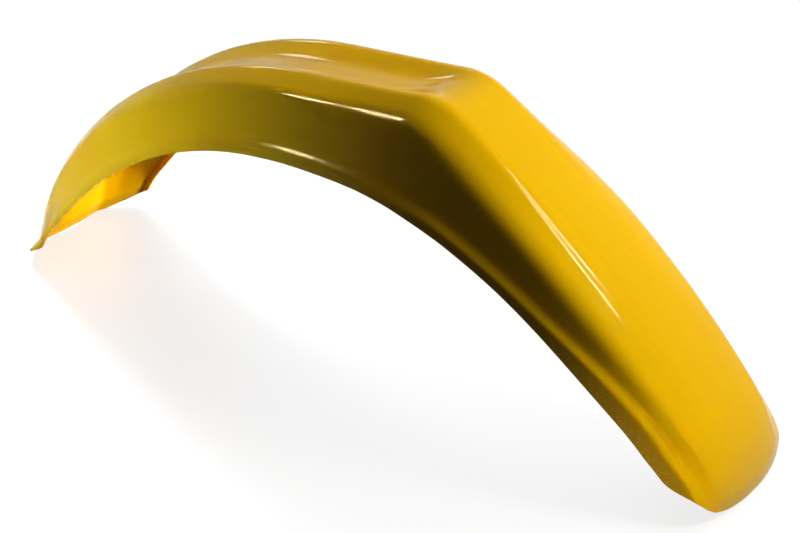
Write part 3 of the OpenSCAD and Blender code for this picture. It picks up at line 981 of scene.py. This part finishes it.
world = bpy.data.worlds.new("studio")
world.use_nodes = True
bpy.context.scene.world = world
tree = world.node_tree
tree.nodes.clear()
dim = add(tree, "ShaderNodeBackground", Color=WHITE, Strength=ROOM_LIGHT)
bright = add(tree, "ShaderNodeBackground", Color=WHITE, Strength=1.0)
mixed = add(tree, "ShaderNodeMixShader", i0=seen_ray(tree), i1=dim, i2=bright)
add(tree, "ShaderNodeOutputWorld", Surface=mixed)
print("the room lights the object with", ROOM_LIGHT)

# %% [markdown]
# ## Light
# The light comes from high up at the front and the far side. The top of the nose faces it and
# shows the yellow as it is written, the land lies flatter and is darker, and the near walls turn
# away and fall to brown. Two kinds of lamp share the work, because the size of a lamp's mirror
# image in the gloss is hard to match at the same time as its light: softboxes light the object
# and don't show in the gloss, and shine lamps show there and light nothing else.

# %% Two kinds of lamp
MIDDLE = (0, 0, 0.15)
SHINE_DISTANCE = 1.8


def lamp(name, direction, distance, width, height, watts, colour, aim, spread):
    """A rectangular lamp at a distance from its aim, and turned to it."""
    data = bpy.data.lights.new(name, "AREA")
    data.shape = "RECTANGLE"
    data.size, data.size_y = width, height
    data.energy = watts
    data.spread = math.radians(spread)
    data.color = linear(colour)[:3]
    holder = bpy.data.objects.new(name, data)
    holder.location = Vector(aim) + Vector(direction).normalized() * distance
    holder.rotation_euler = (Vector(aim) - holder.location).to_track_quat("-Z", "Y").to_euler()
    bpy.context.scene.collection.objects.link(holder)
    return holder


def softbox(
    name, direction, distance, width, height, watts, colour="#FFFFFF", aim=MIDDLE, spread=180
):
    """A lamp that lights the object without a mirror image of itself in the gloss."""
    holder = lamp(name, direction, distance, width, height, watts, colour, aim, spread)
    holder.visible_glossy = False


def shine(name, direction, width, height, brightness):
    """A lamp that shows in the gloss only; its brightness is that of its face, where white is 1."""
    watts = brightness * math.pi * width * height
    holder = lamp(name, direction, SHINE_DISTANCE, width, height, watts, "#FFFFFF", MIDDLE, 180)
    holder.visible_diffuse = False


print("lamps aim at", MIDDLE, "m unless they say otherwise")

# %% [markdown]
# The first four softboxes are the room's plain light. The other four are small and narrow, and
# each lifts one place: the nose, the tail, which stands in greenish light, the toe's step, and
# the inside behind the lip, which glows where light falls through under the arch.

# %% Softboxes
FAINT_GREEN, WARM = "#E8FFC8", "#FFF4E0"

# Name, direction it comes from, distance, width and height in m, power in W.
softbox("key_softbox", (0.50, 0.36, 0.79), 1.8, 0.5, 0.5, 22)
softbox("right_softbox", (1, 0.1, 0.35), 1.8, 0.8, 0.7, 6.0)
softbox("top_softbox", (0, 0, 1), 1.8, 0.9, 0.9, 0.3)
softbox("back_softbox", (-0.68, 0.48, 0.55), 1.8, 0.5, 0.5, 1.5)
softbox(
    "nose_softbox", (0.70, 0.25, 0.66), 1.1, 0.3, 0.3, 0.07, aim=(0.14, 0.0, 0.20), spread=35
)
softbox(
    "tail_softbox", (-0.50, -0.85, 0.10), 1.2, 0.12, 0.4, 0.42, FAINT_GREEN,
    aim=(-0.30, -0.07, 0.14), spread=27,
)
softbox(
    "toe_softbox", (0.35, -0.92, 0.18), 1.2, 0.10, 0.10, 0.035, WARM,
    aim=(0.36, -0.06, 0.01), spread=15,
)
softbox(
    "under_softbox", (0.80, 0.45, 0.08), 1.1, 0.12, 0.08, 0.16, WARM,
    aim=(-0.385, 0.0, 0.045), spread=14,
)
print("softboxes:", len(bpy.data.lights))

# %% [markdown]
# The gloss mirrors long windows and strips. Two narrow strips draw the twin streaks on the near
# crest of the nose, a window behind draws the short lines in the valley, and one on the left the
# fine line on the shoulder of the land and the glint on the rim below it.

# %% Lamps that show in the gloss
# Name, direction it comes from, width and height in m, brightness.
shine("key_strip_1", (0.62, 0.33, 0.70), 0.045, 0.6, 200)
shine("key_strip_2", (0.56, 0.44, 0.70), 0.035, 0.6, 200)
shine("back_window", (-0.74, 0.42, 0.52), 0.34, 0.30, 14)
shine("left_window", (-0.58, -0.60, 0.55), 0.16, 0.30, 170)
print("lamps in all:", len(bpy.data.lights))

# %% [markdown]
# ## Camera
# The camera stands at the front, to the right and above, at the angle of the photograph, which
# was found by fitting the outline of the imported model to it. The fit gives the turn, the tilt,
# pixels per mm at the middle of the object, and how far the middle lies from that of the
# picture. A lens and two shifts say the same to the camera.

# %% Camera
PICTURE_WIDTH = 800
SENSOR = 36.0
CAMERA_TURN = math.radians(36.87)
CAMERA_TILT = math.radians(27.71)
CAMERA_DISTANCE = 2.0
PIXELS_PER_MM = 1.081
SHIFT_RIGHT, SHIFT_DOWN = -24.9, -60.8

forward = Vector((
    -math.sin(CAMERA_TURN) * math.cos(CAMERA_TILT),
    math.cos(CAMERA_TURN) * math.cos(CAMERA_TILT),
    -math.sin(CAMERA_TILT),
))
camera_data = bpy.data.cameras.new("camera")
camera_data.sensor_width = SENSOR
camera_data.lens = PIXELS_PER_MM / MM * CAMERA_DISTANCE * SENSOR / PICTURE_WIDTH
camera_data.shift_x = -SHIFT_RIGHT / PICTURE_WIDTH
camera_data.shift_y = SHIFT_DOWN / PICTURE_WIDTH
camera = bpy.data.objects.new("camera", camera_data)
camera.location = Vector(MIDDLE) - forward * CAMERA_DISTANCE
camera.rotation_euler = forward.to_track_quat("-Z", "Y").to_euler()
bpy.context.scene.collection.objects.link(camera)
bpy.context.scene.camera = camera
bpy.context.scene.view_settings.view_transform = "Standard"
shifts = [round(shift, 3) for shift in (camera_data.shift_x, camera_data.shift_y)]
print("lens", round(camera_data.lens, 1), "mm, shifts", shifts)

# %% [markdown]
# ## Sizes, and the end
# The room left between the box of the imported model and that of the finished piece is
# written for each side, so that the two can be compared.

# %% Sizes for comparison, and finish
now_low, now_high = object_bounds()
room_left = [a - b for a, b in zip((*now_low, *cad_high), (*cad_low, *now_high))]
print("room left to each side of the CAD box, in mm:", [round(v / MM, 2) for v in room_left])
